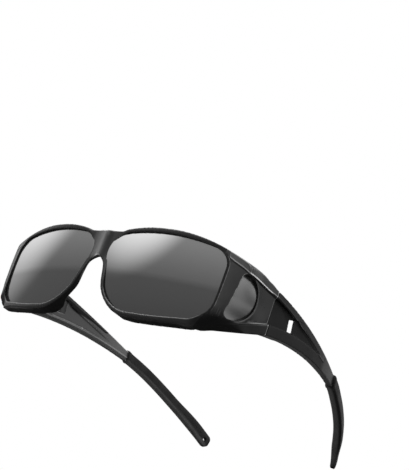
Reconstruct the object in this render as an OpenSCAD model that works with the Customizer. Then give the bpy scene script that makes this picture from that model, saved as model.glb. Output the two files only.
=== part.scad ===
// Wraparound fit-over sunglasses, in millimetres.
// X runs across the face towards the wearer's left, Y runs back towards the ears, Z is up.
// The origin is the middle of the footprint at the level of the lowest point, the temple tips.
// Sizes below are measured from the front of the bridge (Y) and the middle line of the lenses (Z).

/* [Front frame] */
// Plan radius of the outer face, seen from above
front_r = 166; // [140:1:200]
// Half width of the curved face, up to where it turns back
front_half_w = 64.3; // [63:0.1:68]
// Outer radius of the bend between the face and the side wing
bend_r = 14.2; // [12:0.1:18]
// Thickness of the face around the lenses
face_t = 3.3; // [3.2:0.1:4]
// Width of the rim around each lens
rim_w = 2.1; // [1.8:0.1:2.4]
// Radius of the arc along the top of each rim
brow_r = 85; // [76:1:110]
// Distance from the middle to the highest point of that arc
brow_x = 33; // [28:0.5:36]
// Height of that arc's highest point
brow_top = 21.2; // [20.6:0.1:22.5]
// Depth of the shade lip, from the outer face to its back edge
lip_d = 6.8; // [5.5:0.1:9]
// Thickness of the shade lip
lip_t = 1.7; // [1.2:0.1:2.2]
// Distance from the middle to where the shade lip starts
lip_x0 = 11; // [9:0.5:13]
// Distance from the middle to where the shade lip has its full depth
lip_x1 = 27; // [24:0.5:32]
// Distance from the middle to where it starts to run out into the wing
lip_x2 = 50; // [44:0.5:56]
// Distance from the front of the bridge back to the hinge seam
hinge_y = 38.8; // [37:0.1:44]
// Thickness of the side wing
wing_t = 5.4; // [5.2:0.1:6]

/* [Bridge] */
// Height of the bridge's top edge
bridge_top = 17.7; // [14:0.1:20]
// Height of the top of the nose arch
nose_top = 5.3; // [0:0.1:8]
// Half width of the nose arch at its shoulders
nose_w = 3.7; // [2.5:0.1:4.5]
// How far down the rim the nose arch runs out, as a share of the lens's inner edge
nose_run = 0.58; // [0.5:0.01:0.7]

/* [Lenses] */
// Distance between the lens openings at their top corners
lens_gap_top = 7.6; // [6:0.1:12]
// Distance between the lens openings at their bottom corners
lens_gap_low = 23.6; // [20:0.1:28]
// Distance from the middle to the outer edge of a lens opening, at the top
lens_out_top = 62; // [60:0.1:62.4]
// Distance from the middle to the outer edge of a lens opening, at the bottom
lens_out_low = 61.4; // [58:0.1:62]
// Height of the opening's top corners
lens_top = 15.1; // [12:0.1:16]
// Depth of the opening's outer bottom corner below the middle line
lens_low_out = 15.4; // [12:0.1:17]
// Depth of the opening's inner bottom corner below the middle line
lens_low_in = 18.8; // [16:0.1:20]
// Rise of the brow edge between its corners
brow_bow = 3.9; // [2:0.1:5]
// Sag of the lower edge between its corners
cheek_bow = 2.2; // [1:0.1:3]
// Corner length at the top inner corner
corner_top_in = 9.4; // [6:0.1:12]
// Corner length at the top outer corner
corner_top_out = 6.7; // [4:0.1:9]
// Corner length at the bottom outer corner
corner_low_out = 7.7; // [5:0.1:10]
// Corner length at the bottom inner corner
corner_low_in = 12.8; // [9:0.1:14]
// Bow of the opening's outer edge
out_bow = 0.3; // [0:0.1:0.6]
// Bow of the opening's inner edge
in_bow = 0.2; // [0:0.1:0.4]
// Where the cheek leaves the rim, as a share of the opening's lower edge
cheek_from = 0.57; // [0.5:0.01:0.65]
// Thickness of a front lens
lens_t = 1.8; // [1.5:0.1:1.8]
// Distance that a lens lies behind the face of its rim
lens_sink = 0.7; // [0.5:0.1:0.8]
// Depth of the groove that holds a lens's edge
groove_d = 0.9; // [0.8:0.1:1]
// Gap between a lens's edge and the bottom of its groove
lens_play = 0.1; // [0.05:0.01:0.2]

/* [Side wing] */
// Height of the wing's top edge where it leaves the face
wing_top_front = 15.4; // [15:0.1:16.5]
// How sharply the top edge falls behind the bend
wing_fall = 3.5; // [3:0.5:6]
// Depth of the wing's bottom edge at the bend
wing_low_front = 18.9; // [18:0.1:19.5]
// Sag of the wing's bottom edge below a straight line
wing_sag = 0.1; // [0:0.1:1]
// Depth of that edge where it meets the outer face, seen from the front
wing_low_out = 14.4; // [14:0.1:16]
// Height of the band along the top edge, at the bend
top_band_front = 2.6; // [2:0.1:4]
// Height of the band along the top edge, at the hinge and on the temple
top_band = 3.3; // [2.8:0.1:4]
// Height of the band along the bottom edge, at the bend
low_band_front = 3.6; // [2:0.1:4.5]
// Height of the band along the bottom edge, at the hinge and on the temple
low_band = 5; // [4.5:0.1:6]
// Distance from the bend's start back to the panel's front end, at its top
panel_start_top = 0.3; // [0.2:0.1:1.5]
// Distance from the bend's start back to the panel's front end, at its bottom
panel_start_low = 2; // [1:0.1:3]
// Distance from the bend's centre back to the corner inside the bend
inner_corner = 2; // [1:0.1:4]
// Depth of the side panel below the bands
panel_d = 1; // [0.5:0.1:1.2]

/* [Side window] */
// Radius of the half-round window
window_r = 10.6; // [9:0.1:11]
// Distance from the front of the bridge back to the window's centre
window_y = 18; // [17:0.1:19]
// Height of the window's centre
window_z = -1.8; // [-3:0.1:-1]
// Distance from the window's centre forward to its straight edge
window_front = 1.8; // [1:0.1:2.2]
// Slant of the straight edge, in degrees
window_slant = 4; // [0:1:8]
// Turn of the window's plane from straight sideways, in degrees
window_turn = 12; // [11:0.5:15]
// Depth of the pane behind the outer face at the window's back edge
window_sink = 3.4; // [3.2:0.1:3.6]
// Corner length where the window's arc meets its straight edge
window_corner = 2.2; // [1:0.1:3]
// Thickness of the side pane
pane_t = 1.5; // [1:0.1:1.6]
// Width of the seat that the pane's edge rests on
pane_seat = 0.9; // [0.7:0.05:1]
// Gap around the pane's edge
pane_play = 0.1; // [0.05:0.01:0.2]

/* [Temples] */
// Plan radius of the temple's outer face
temple_r = 325; // [290:5:400]
// Length of the temple along its face, from the seam to the rubber tip
temple_len = 72.2; // [70:0.1:76]
// Thickness of the temple at the seam, before its root is added
temple_t = 4.4; // [4.2:0.1:4.8]
// Thickness of the temple at the rubber tip
end_t = 3; // [2.8:0.1:3.4]
// Length of the thick root that carries the hinge
root_len = 11; // [10:0.1:12]
// Length over which the root runs out into the temple
root_fade = 3; // [2:0.1:4]
// Height of the top edge at the seam
root_top = 10.8; // [10:0.1:12]
// Depth of the bottom edge at the seam
root_low = 9.8; // [9:0.1:11]
// Height of the top edge at the rubber tip
end_top = 0.3; // [0:0.1:1.5]
// Depth of the bottom edge at the rubber tip
end_low = 4.3; // [4:0.1:5.5]
// Rise of the top edge above a straight line
top_bow = 1.7; // [1:0.1:2.6]
// Rise of the bottom edge above a straight line
low_bow = 3.2; // [2.4:0.1:3.6]
// Depth of the outer recess at the seam
recess_d = 2.2; // [1.5:0.1:2.3]
// Length of the outer recess, where it runs out into the face
recess_len = 57.5; // [50:0.5:60]
// Distance from the seam to the inner channel's front end
channel_from = 14.5; // [14:0.1:16]
// Distance from the seam to where the inner channel runs out
channel_to = 60; // [52:0.5:64]
// Depth of the inner channel at its front end
channel_d = 1.2; // [0.8:0.1:1.3]
// Height of the rib above the inner channel
rib_top = 3.6; // [3:0.1:4.5]
// Height of the rib below the inner channel
rib_low = 2.6; // [2:0.1:3.2]
// Distance from the seam to the middle of the through slot
slot_y = 19.6; // [19:0.1:22]
// Length of the through slot
slot_len = 6.2; // [5:0.1:6.6]
// Height of the through slot
slot_h = 5.6; // [4.6:0.1:5.8]
// Height of the middle of the through slot
slot_z = 2.3; // [2.2:0.1:2.8]
// Turn of the through slot, in degrees
slot_turn = 10; // [0:1:12]

/* [Rubber tips] */
// Overall distance from the front of the bridge to the end of the tips
overall_d = 170; // [166:0.5:176]
// Plan radius of the tip's outer face
tip_r = 232; // [200:1:260]
// Height of the tip's section
tip_h = 5.4; // [5.2:0.1:6.4]
// Distance that the tip stands proud of the temple on each face
tip_proud = 0.35; // [0.2:0.05:0.5]
// Drop of the tip's middle line from its start to its end
tip_drop = 22.2; // [18:0.1:26]
// Rise of the tip's middle line above a straight line
tip_bow = 3.2; // [2:0.1:5]
// Slant of the line between temple and tip, over its height
tip_lean = 2; // [0:0.1:3]
// Length of the temple's tongue inside the rubber
tongue_len = 9; // [6:0.5:12]
// Thickness of the tongue
tongue_t = 1.9; // [1.8:0.1:2]
// Height of the tongue
tongue_h = 3.4; // [3:0.1:3.6]
// Gap around the tongue and around the core
core_play = 0.05; // [0.03:0.01:0.1]
// Thickness of the metal core strip
core_t = 0.8; // [0.6:0.1:0.9]
// Height of the metal core strip
core_h = 2; // [1.5:0.1:2.4]
// Length of the core inside the temple
core_in_temple = 12; // [8:0.5:16]
// Length of the core behind the temple's end
core_in_tip = 46; // [30:0.5:48]
// Radius of the cord hole through the tip
cord_hole_r = 0.8; // [0.6:0.05:1]
// Distance from the cord hole to the tip's end
cord_hole_back = 3.2; // [2.8:0.1:4]

/* [Hinges] */
// Outer radius of the hinge knuckles
knuckle_r = 1.9; // [1.7:0.05:2.1]
// Height of each knuckle
knuckle_h = 3.4; // [3:0.1:4]
// Gap between knuckles
knuckle_gap = 0.3; // [0.2:0.05:0.4]
// Clearance around the knuckles in the frame and the temple
knuckle_room = 0.35; // [0.3:0.05:0.5]
// Clearance above and below the hinge in the frame and the temple
hinge_end_room = 0.6; // [0.4:0.1:1]
// Height of the hinge's middle
hinge_z = 0.8; // [0:0.1:2]
// Gap between the frame and the temple at the seam
seam_gap = 0.4; // [0.3:0.05:0.6]
// Thickness of a hinge leaf
leaf_t = 0.9; // [0.8:0.05:1]
// Length of a hinge leaf from the seam
leaf_len = 7; // [6:0.1:7.2]
// Gap around a leaf in its pocket
leaf_play = 0.05; // [0.03:0.01:0.1]
// Shank radius of the hinge screw
hinge_screw_r = 0.8; // [0.7:0.05:0.9]
// Running clearance between the hinge screw and the knuckles
screw_fit = 0.05; // [0.02:0.01:0.08]
// Gap between the hinge screw and the front knuckles, which hold it still
screw_seat_fit = 0.02; // [0.01:0.01:0.04]
// Width of the driver slot in the hinge screw
hinge_slot_w = 0.4; // [0.3:0.05:0.5]
// Head radius of the hinge screw
hinge_head_r = 1.5; // [1.3:0.05:1.6]
// Head height of the hinge screw
hinge_head_h = 0.9; // [0.7:0.05:1]
// Shank radius of the leaf screws
leaf_screw_r = 0.6; // [0.5:0.05:0.7]
// Length of the leaf screws below the leaf
leaf_screw_len = 1.6; // [1.4:0.1:1.8]
// Head radius of the leaf screws
leaf_head_r = 1.15; // [1:0.05:1.3]
// Depth of the leaf screws' sunk head
leaf_head_h = 0.5; // [0.4:0.05:0.55]
// Distance from the seam to the leaf screws
leaf_screw_y = 4.4; // [4:0.1:4.8]
// Distance between the two leaf screws of a leaf
leaf_screw_gap = 5; // [4:0.1:6]
// Width of the driver slot in the leaf screws
leaf_slot_w = 0.3; // [0.2:0.05:0.4]
// Gap around the leaf screws
leaf_screw_play = 0.03; // [0.02:0.01:0.05]

/* [Hidden] */
$fn = 48;

// Large sizes for cutting shapes that have to reach past everything
far = 400;
tall = 60;

// How far a cutting shape runs past what it cuts, and how far the parts of one solid reach into each other
over = 1;
lap = 0.5;

// Plan of the front: the face's centre, the bend's centre and the wing's outer and inner planes
front_a = asin(front_half_w / front_r);
bend_x = (front_r - bend_r) * sin(front_a);
bend_y = front_r - (front_r - bend_r) * cos(front_a);
wing_x = bend_x + bend_r;
wing_in_x = wing_x - wing_t;
corner_y = front_r * (1 - cos(front_a));

// Plan of the temple and the tip
temple_cx = wing_x - temple_r;
temple_a = temple_len / temple_r * 180 / PI;
tip_cx = temple_cx + (temple_r - tip_r) * cos(temple_a);
tip_cy = hinge_y + (temple_r - tip_r) * sin(temple_a);
tip_y = hinge_y + temple_r * sin(temple_a);
taper_a = asin((temple_t - end_t) / temple_len);

// The tip's middle line, from the temple's end to the centre of its rounded end
tip_half = tip_h / 2;
tip_start_z = (end_top - end_low) / 2;
tip_end_y = overall_d - tip_half;
low_z = tip_start_z - tip_drop - tip_half;

// Hinge axis
pin_x = wing_in_x + leaf_t - knuckle_r;
pin_len = 3 * knuckle_h + 2 * knuckle_gap;
hinge_low = hinge_z - pin_len / 2;
knuckle_step = knuckle_h + knuckle_gap;
hinge_clear = knuckle_r + knuckle_room;

// The cord hole's place along the tip
cord_r = tip_r - end_t / 2;
cord_y = overall_d - cord_hole_back;
cord_a = asin((cord_y - tip_cy) / cord_r);

function lerp(a, b, t) = a + (b - a) * t;
function bow(t) = 4 * t * (1 - t);
function turn(a) = [cos(a), sin(a)];
function side_of(p, q) = let (d = q - p, n = norm(d)) [d[1] / n, -d[0] / n];

// An outline moved outwards by d, for a closed list of points that runs anticlockwise
function grown(p, d) = [
    for (i = [0:len(p) - 1])
        p[i] + d * side_of(p[(i + len(p) - 1) % len(p)], p[(i + 1) % len(p)])
];

// A bowed edge from p to q, without the corner lengths a and b at its ends
function edge_pt(p, q, h, t) = lerp(p, q, t) + h * bow(t) * side_of(p, q);
function edge(p, q, h, a, b, n) = let (l = norm(q - p))
    [for (i = [0:n]) edge_pt(p, q, h, lerp(a / l, 1 - b / l, i / n))];

// A rounded corner from p to q around the sharp corner c, without its ends
function corner(p, c, q, n) = [
    for (i = [1:n - 1]) let (t = i / n, k = 0.55, a = lerp(p, c, k), b = lerp(q, c, k))
        pow(1 - t, 3) * p + 3 * pow(1 - t, 2) * t * a + 3 * (1 - t) * t * t * b + pow(t, 3) * q
];

// The lens opening on the wearer's left, seen from the front, as X and Z
lens_ti = [lens_gap_top / 2, lens_top];
lens_to = [lens_out_top, lens_top];
lens_bo = [lens_out_low, -lens_low_out];
lens_bi = [lens_gap_low / 2, -lens_low_in];
low_edge = edge(lens_bi, lens_bo, cheek_bow, corner_low_in, corner_low_out, 8);
out_edge = edge(lens_bo, lens_to, out_bow, corner_low_out, corner_top_out, 3);
brow_edge = edge(lens_to, lens_ti, brow_bow, corner_top_out, corner_top_in, 10);
in_edge = edge(lens_ti, lens_bi, in_bow, corner_top_in, corner_low_in, 3);
lens_outline = concat(
    low_edge, corner(low_edge[8], lens_bo, out_edge[0], 5),
    out_edge, corner(out_edge[3], lens_to, brow_edge[0], 5),
    brow_edge, corner(brow_edge[10], lens_ti, in_edge[0], 6),
    in_edge, corner(in_edge[3], lens_bi, low_edge[0], 7)
);

// Edges of the wing, as heights over the distance back from the inside of the face
wing_y = corner_y + face_t;
function wing_t_at(y) = (y - wing_y) / (hinge_y - wing_y);
function wing_top(y) = root_top + (wing_top_front - root_top) * pow(max(1 - wing_t_at(y), 0), wing_fall);
function wing_low(y) = let (t = wing_t_at(y)) lerp(-wing_low_front, -root_low, t) - wing_sag * bow(t);

// Edges of the temple and the middle line of the tip
function temple_t_at(y) = (y - hinge_y) / (tip_y - hinge_y);
function temple_top(y) = let (t = temple_t_at(y)) lerp(root_top, end_top, t) + top_bow * bow(t);
function temple_low(y) = let (t = temple_t_at(y)) lerp(-root_low, -end_low, t) + low_bow * bow(t);
function tip_mid(y) = let (t = (y - tip_y) / (tip_end_y - tip_y))
    y < tip_y ? (temple_top(y) + temple_low(y)) / 2 : tip_start_z - tip_drop * t + tip_bow * bow(t);

// A list of points along a height function, from y0 to y1
function steps(y0, y1, n) = [for (i = [0:n]) lerp(y0, y1, i / n)];
function reversed(p) = [for (i = [len(p) - 1:-1:0]) p[i]];

// A bar around the tip's middle line, h to each side, with a round end of radius h
function tip_bar(y0, y1, h, n) = let (
    s = steps(y0, y1, n),
    mid = [for (y = s) [y, tip_mid(y)]],
    nrm = [for (i = [0:n]) side_of(mid[max(i - 1, 0)], mid[min(i + 1, n)])],
    a = atan2(nrm[n][1], nrm[n][0])
) concat(
    [for (i = [0:n]) mid[i] + h * nrm[i]],
    [for (k = [1:9]) mid[n] + h * turn(a + k * 18)],
    [for (i = [n:-1:0]) mid[i] - h * nrm[i]]
);

// The half-round window in its own plane, as distances back and up from its centre
window_lean = window_r * tan(window_slant);
window_a0 = -acos((-window_front - window_lean) / window_r);
window_a1 = acos((-window_front + window_lean) / window_r);
window_da = window_corner / window_r * 180 / PI;
window_low = window_r * turn(window_a0);
window_high = window_r * turn(window_a1);
window_up = (window_high - window_low) / norm(window_high - window_low);
window_arc = [for (a = steps(window_a0 + window_da, window_a1 - window_da, 18)) window_r * turn(a)];
window_line = [window_high - window_corner * window_up, window_low + window_corner * window_up];
window_outline = concat(
    window_arc, corner(window_arc[18], window_high, window_line[0], 4),
    window_line, corner(window_line[1], window_low, window_arc[0], 4)
);
window_x = wing_x - window_sink - window_r * sin(window_turn);

// The nose arch, and the flat cheek from the rim out to the bend, just above the wing's lowest level
cheek_end_z = -wing_low_front + 0.1;
nose_end = edge_pt(lens_ti, lens_bi, in_bow, nose_run) + rim_w * side_of(lens_ti, lens_bi);
nose_curve = corner([0, nose_top], [nose_w, nose_top], nose_end, 7);
rim_x = brow_x - sqrt(pow(brow_r, 2) - pow(bridge_top - brow_top + brow_r, 2));
cheek_low = edge_pt(lens_bi, lens_bo, cheek_bow, cheek_from) + rim_w * side_of(lens_bi, lens_bo);
bridge_low = nose_top + rim_w;
bridge_x = rim_x + lap;
bridge = [[-bridge_x, bridge_low], [bridge_x, bridge_low], [bridge_x, bridge_top], [-bridge_x, bridge_top]];
cheek = [
    cheek_low, [front_half_w + over, cheek_end_z],
    [front_half_w + over, brow_top], [brow_x, brow_top]
];
nose_side = concat(
    [[0, nose_top]], nose_curve,
    [nose_end, [2 * rim_x, nose_end[1]], [2 * rim_x, brow_top], [0, brow_top]]
);

// Outline of the wing, seen from the side, open towards the face
wing_steps = steps(corner_y, hinge_y, 10);
wing_side = concat(
    [[-over, -wing_low_front], [corner_y - over, -wing_low_front]],
    [for (y = wing_steps) [y, wing_low(y)]],
    [for (y = reversed(wing_steps)) [y, wing_top(y)]],
    [[corner_y - over, tall / 2], [-over, tall / 2]]
);

// Outline of the recessed panel between the wing's bands
panel_low_steps = steps(corner_y + panel_start_low, hinge_y + over, 8);
panel_top_steps = steps(corner_y + panel_start_top, hinge_y + over, 10);
wing_panel = concat(
    [for (y = panel_low_steps) [y, wing_low(y) + lerp(low_band_front, low_band, wing_t_at(y))]],
    [for (y = reversed(panel_top_steps)) [y, wing_top(y) - lerp(top_band_front, top_band, wing_t_at(y))]]
);

// Outline of the temple, up to a little past the rubber tip's front edge
temple_front = hinge_y + seam_gap / 2;
temple_steps = steps(temple_front, tip_y + tip_lean, 16);
temple_side = concat(
    [for (y = temple_steps) [y, temple_low(y)]],
    [for (y = reversed(temple_steps)) [y, temple_top(y)]]
);

// The share of the temple's length at which two lines this far apart in all would meet
function meet_t(gap) = let (
    h0 = root_top + root_low,
    h1 = end_top + end_low,
    a = 4 * (low_bow - top_bow),
    b = h0 - h1 + a,
    c = h0 - gap
) 2 * c / (b + sqrt(b * b - 4 * a * c));

// Outline of the outer recess and of the inner channel, between the temple's bands and ribs
recess_end = lerp(hinge_y, tip_y, meet_t(top_band + low_band) - 0.01);
recess_steps = steps(hinge_y - over, recess_end, 12);
recess_side = concat(
    [for (y = recess_steps) [y, temple_low(y) + low_band]],
    [for (y = reversed(recess_steps)) [y, temple_top(y) - top_band]]
);
channel_steps = steps(hinge_y + channel_from, hinge_y + channel_to, 10);
channel_side = concat(
    [for (y = channel_steps) [y, temple_low(y) + rib_low]],
    [for (y = reversed(channel_steps)) [y, temple_top(y) - rib_top]]
);

// The side view's half that lies behind the leaning line at the rubber tip's front
lean_k = tip_lean / tip_h;
tip_zone = [
    [tip_y + lean_k * (-tall / 2 - tip_start_z), -tall / 2], [far, -tall / 2],
    [far, tall / 2], [tip_y + lean_k * (tall / 2 - tip_start_z), tall / 2]
];

// Everything below is modelled on the wearer's left and mirrored for the right
module placed() {
    translate([0, -overall_d / 2, -low_z]) children();
}

module right_side() {
    mirror([1, 0, 0]) children();
}

module both_sides() {
    children();
    mirror([1, 0, 0]) children();
}

// An outline of X and Z points, extruded along Y
module front_prism(p, y0, y1) {
    translate([0, y1, 0]) rotate([90, 0, 0]) linear_extrude(y1 - y0) polygon(p);
}

// An outline of Y and Z points, extruded along X
module side_prism(p, x0, x1) {
    translate([x0, 0, 0]) rotate([90, 0, 90]) linear_extrude(x1 - x0) polygon(p);
}

module post(x, y, r) {
    translate([x, y, -tall / 2]) cylinder(r = r, h = tall, $fn = 180);
}

module block(x0, x1, y0, y1, z0, z1) {
    translate([x0, y0, z0]) cube([x1 - x0, y1 - y0, z1 - z0]);
}

// The curved face between depths d0 and d1
module face_band(d0, d1, half_w) {
    intersection() {
        difference() {
            post(0, front_r, front_r - d0);
            post(0, front_r, front_r - d1);
        }
        block(-half_w, half_w, -over, front_half_w, -tall / 2, tall / 2);
    }
}

module lens_prism(grow) {
    front_prism(grown(lens_outline, grow), -over, front_half_w);
}

// Everything in front view below the arc along the top of the rim
module brow_disc() {
    translate([brow_x, -over, brow_top - brow_r])
        rotate([-90, 0, 0])
            cylinder(r = brow_r, h = far, $fn = 180);
}

// The whole front seen face on: two rims, the bridge and the cheeks beside the lenses
module face_outline() {
    front_prism(bridge, -over, front_half_w);
    both_sides() intersection() {
        brow_disc();
        union() {
            lens_prism(rim_w);
            front_prism(cheek, -over, front_half_w);
            front_prism(nose_side, -over, front_half_w);
        }
    }
}

// The wing and the bend, solid inwards from depth d on the wing; the bend still meets the face smoothly
module wing_mass(d) {
    r = bend_r - d / (1 - sin(front_a));
    x = front_half_w - r * sin(front_a);
    y = corner_y + r * cos(front_a);
    post(x, y, r);
    block(x, wing_x - d, y, hinge_y + 1, -tall / 2, tall / 2);
}

// Seen from above, the shade lip grows from nothing beside the nose and runs out at the wing
function face_y(x, d) = front_r - sqrt(pow(front_r - d, 2) - pow(x, 2));
module lip_zone() {
    translate([0, 0, -tall / 2]) linear_extrude(tall) polygon([
        [lip_x0 - over, 0], [front_half_w, 0], [front_half_w, corner_y],
        [lip_x2, face_y(lip_x2, lip_d)], [lip_x2, far], [lip_x1, far],
        [lip_x1, face_y(lip_x1, lip_d)], [lip_x0, face_y(lip_x0, face_t)], [lip_x0 - over, face_t]
    ]);
}

module wing() {
    in_x = front_half_w - lap;
    out_x = wing_x + over;
    intersection() {
        wing_mass(0);
        brow_disc();
        side_prism(wing_side, in_x, out_x);
        front_prism([
            [in_x, -wing_low_front], [front_half_w, cheek_end_z], [wing_x, -wing_low_out],
            [out_x, -wing_low_out], [out_x, tall / 2], [in_x, tall / 2]
        ], -over, hinge_y - seam_gap / 2);
        translate([0, 0, -tall / 2]) linear_extrude(tall) polygon([
            [in_x, 0], [out_x, 0], [out_x, hinge_y], [wing_in_x, hinge_y],
            [wing_in_x, bend_y + inner_corner], [in_x, wing_y]
        ]);
    }
}

// The window's own space: X points out through the pane, Y back along it
module window_space() {
    translate([window_x, window_y, window_z]) rotate([0, 0, -window_turn]) children();
}

module wing_panel_cut() {
    difference() {
        side_prism(wing_panel, front_half_w, wing_x + over);
        wing_mass(panel_d);
    }
}

// The space around the knuckles and the hinge screw's head
module hinge_room() {
    translate([pin_x, hinge_y, hinge_low - hinge_end_room])
        cylinder(r = hinge_clear, h = pin_len + hinge_head_h + 2 * hinge_end_room);
}

module knuckle(i) {
    translate([pin_x, hinge_y, hinge_low + i * knuckle_step]) cylinder(r = knuckle_r, h = knuckle_h);
}

// A leaf's flat plate, and its arm out to knuckle i; back is 1 on the temple and -1 on the frame
module leaf_plate(back) {
    y0 = back > 0 ? hinge_y + hinge_clear : hinge_y - leaf_len;
    block(wing_in_x, wing_in_x + leaf_t, y0, y0 + leaf_len - hinge_clear, hinge_low, hinge_low + pin_len);
}

module leaf_arm(back, i) {
    z0 = hinge_low + i * knuckle_step;
    y0 = back > 0 ? hinge_y : hinge_y - hinge_clear - lap;
    block(wing_in_x, wing_in_x + leaf_t, y0, y0 + hinge_clear + lap, z0, z0 + knuckle_h);
}

// The pocket that a leaf lies in, open towards the inside and the seam
module leaf_pocket(back) {
    p = leaf_play;
    y0 = back > 0 ? hinge_y - over : hinge_y - leaf_len - p;
    block(
        wing_in_x - over, wing_in_x + leaf_t + p,
        y0, y0 + leaf_len + over + p,
        hinge_low - p, hinge_low + pin_len + p
    );
}

// The heads of a leaf's two screws, each the origin of a shape that points outwards
module at_leaf_screws(back) {
    for (k = [-0.5, 0.5])
        translate([wing_in_x, hinge_y + back * leaf_screw_y, hinge_z + k * leaf_screw_gap])
            rotate([0, 90, 0])
                children();
}

// The two screws of a leaf, or with a gap their holes
module leaf_screw_shapes(back, gap) {
    at_leaf_screws(back) {
        cylinder(r = leaf_screw_r + gap, h = leaf_t + leaf_screw_len + gap);
        cylinder(r1 = leaf_head_r + gap, r2 = leaf_screw_r + gap, h = leaf_head_h);
    }
}

module front_frame() {
    placed() color([0.13, 0.13, 0.14]) difference() {
        union() {
            intersection() {
                face_band(0, face_t, front_half_w);
                face_outline();
            }
            intersection() {
                face_band(face_t / 2, lip_d, front_half_w);
                difference() {
                    face_outline();
                    both_sides() lens_prism(rim_w - lip_t);
                }
                both_sides() lip_zone();
            }
            both_sides() wing();
        }
        both_sides() {
            lens_prism(0);
            intersection() {
                face_band(lens_sink - lens_play / 2, lens_sink + lens_t + lens_play / 2, front_half_w);
                lens_prism(groove_d);
            }
            wing_panel_cut();
            window_space() {
                side_prism(window_outline, -over, bend_r);
                side_prism(grown(window_outline, pane_seat), -bend_r, 0);
            }
            hinge_room();
            leaf_pocket(-1);
            leaf_screw_shapes(-1, leaf_screw_play);
        }
    }
}

module front_lens() {
    color([0.45, 0.46, 0.48, 0.6]) intersection() {
        face_band(lens_sink, lens_sink + lens_t, front_half_w);
        lens_prism(groove_d - lens_play);
    }
}

module side_lens() {
    color([0.4, 0.4, 0.42, 0.6]) window_space()
        side_prism(grown(window_outline, pane_seat - pane_play), -pane_t, 0);
}

module hinge_leaf(back, ids, bore) {
    color([0.7, 0.7, 0.72]) difference() {
        union() {
            leaf_plate(back);
            for (i = ids) {
                leaf_arm(back, i);
                knuckle(i);
            }
        }
        translate([pin_x, hinge_y, hinge_low - over]) cylinder(r = bore, h = pin_len + 2 * over);
        leaf_screw_shapes(back, leaf_screw_play);
    }
}

module hinge_front_leaf() {
    hinge_leaf(-1, [0, 2], hinge_screw_r + screw_seat_fit);
}

module hinge_temple_leaf() {
    hinge_leaf(1, [1], hinge_screw_r + screw_fit);
}

module leaf_screws(back) {
    color([0.75, 0.75, 0.77]) difference() {
        leaf_screw_shapes(back, 0);
        at_leaf_screws(back) cube([2 * (leaf_head_r + over), leaf_slot_w, leaf_head_h], center = true);
    }
}

module hinge_screw() {
    color([0.75, 0.75, 0.77]) translate([pin_x, hinge_y, hinge_low]) difference() {
        union() {
            cylinder(r = hinge_screw_r, h = pin_len + hinge_head_h / 2);
            translate([0, 0, pin_len]) cylinder(r = hinge_head_r, h = hinge_head_h);
        }
        translate([0, 0, pin_len + hinge_head_h])
            cube([2 * (hinge_head_r + over), hinge_slot_w, hinge_head_h], center = true);
    }
}

// The temple's curved band, and the tip's, between depths d0 and d1 below the outer face
module temple_band(d0, d1) {
    difference() {
        post(temple_cx, hinge_y, temple_r - d0);
        post(temple_cx, hinge_y, temple_r - d1);
    }
}

module tip_band(d0, d1) {
    difference() {
        post(tip_cx, tip_cy, tip_r - d0);
        post(tip_cx, tip_cy, tip_r - d1);
    }
}

// A disc whose edge follows a face of the temple, but turned by a about the point at length l
module turned_post(r, l, a) {
    b = l / temple_r * 180 / PI;
    p = [temple_cx, hinge_y] + r * turn(b);
    c = p - r * turn(b + a);
    post(c[0], c[1], r);
}

module recess_cut() {
    difference() {
        side_prism(recess_side, 0, wing_x + over);
        turned_post(temple_r, recess_len, -asin(recess_d / recess_len));
    }
}

module channel_cut() {
    intersection() {
        side_prism(channel_side, 0, wing_x);
        turned_post(temple_r - lerp(temple_t, end_t, channel_to / temple_len), channel_to,
            asin(channel_d / (channel_to - channel_from)) - taper_a);
    }
}

module slot_cut() {
    translate([0, hinge_y + slot_y, slot_z]) rotate([slot_turn, 0, 0])
        block(0, wing_x + over, -slot_len / 2, slot_len / 2, -slot_h / 2, slot_h / 2);
}

// The thick root, tapering back to the temple's own thickness
module root() {
    y1 = hinge_y + root_len;
    intersection() {
        post(temple_cx, hinge_y, temple_r);
        side_prism(temple_side, 0, wing_x + over);
        translate([0, 0, -tall / 2]) linear_extrude(tall) polygon([
            [wing_in_x, temple_front], [wing_x + over, temple_front], [wing_x + over, y1 + root_fade],
            [wing_x - temple_t + lap, y1 + root_fade], [wing_in_x, y1]
        ]);
    }
}

// The core strip, or with a gap the space it lies in
module core_shape(gap) {
    d0 = end_t / 2 - core_t / 2 - gap;
    d1 = end_t / 2 + core_t / 2 + gap;
    intersection() {
        union() {
            intersection() {
                temple_band(d0, d1);
                block(0, wing_x, 0, tip_y, -tall / 2, tall / 2);
            }
            intersection() {
                tip_band(d0, d1);
                block(0, wing_x, tip_y, overall_d, -tall / 2, tall / 2);
            }
        }
        side_prism(
            tip_bar(tip_y - core_in_temple - gap, tip_y + core_in_tip, core_h / 2 + gap, 14), 0, wing_x
        );
    }
}

module tongue_shape(gap) {
    intersection() {
        tip_band(end_t / 2 - tongue_t / 2 - gap, end_t / 2 + tongue_t / 2 + gap);
        side_prism(tip_bar(tip_y - tip_lean - lap, tip_y + tongue_len, tongue_h / 2 + gap, 4), 0, wing_x);
    }
}

module temple() {
    color([0.12, 0.12, 0.13]) difference() {
        union() {
            difference() {
                union() {
                    intersection() {
                        difference() {
                            post(temple_cx, hinge_y, temple_r);
                            turned_post(temple_r - temple_t, 0, -taper_a);
                        }
                        side_prism(temple_side, 0, wing_x + over);
                    }
                    root();
                }
                side_prism(tip_zone, 0, wing_x + over);
            }
            tongue_shape(0);
        }
        recess_cut();
        channel_cut();
        slot_cut();
        hinge_room();
        leaf_pocket(1);
        leaf_screw_shapes(1, leaf_screw_play);
        core_shape(core_play);
    }
}

module tip_core() {
    color([0.6, 0.6, 0.62]) core_shape(0);
}

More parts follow.
